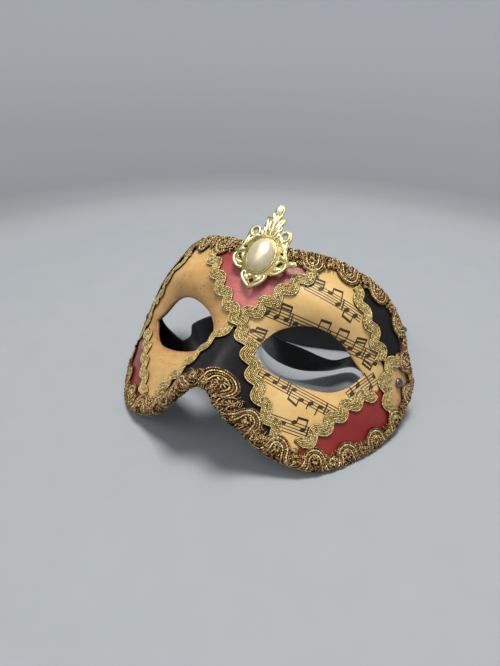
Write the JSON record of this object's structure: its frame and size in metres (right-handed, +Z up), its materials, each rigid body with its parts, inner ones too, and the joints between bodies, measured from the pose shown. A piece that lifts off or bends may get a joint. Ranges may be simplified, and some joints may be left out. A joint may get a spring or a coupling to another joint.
{
  "type": "venetian half mask",
  "caption": "Half mask worn over the eyes: moulded papier-mâché in music-print, gold, red and black panels, with gilt braid, a brass brow ornament and black satin ribbons.",
  "frame": {"origin": "on the surface that the mask lies on, under the middle of the box of the mask without its ribbons", "axes": "+Z up, +X to the viewer's right across the mask from temple to temple, -Y towards the viewer; the face leans back 46 degrees"},
  "size_m": [0.1634, 0.1705, 0.0983],
  "materials": {
    "paper": "satin",
    "gimp": "satin",
    "ricrac": "satin",
    "brass": "polished",
    "pearl": "gloss",
    "stud": "satin",
    "satin": "satin"
  },
  "bodies": {
    "root": {"mask_shell": "paper", "rim_braid": "gimp", "ricrac_brow_to_nose_left": "ricrac", "ricrac_brow_to_nose_right": "ricrac", "ricrac_temple_left": "ricrac", "ricrac_temple_right": "ricrac", "ricrac_cheek_left": "ricrac", "ricrac_cheek_right": "ricrac", "ricrac_stud_panel_left": "ricrac", "ricrac_stud_panel_right": "ricrac", "temple_stud_left": "stud", "temple_stud_right": "stud", "brow_ornament": "brass", "brow_pearl": "pearl", "ribbon_left": "satin", "ribbon_right": "satin"}
  },
  "joints": []
}
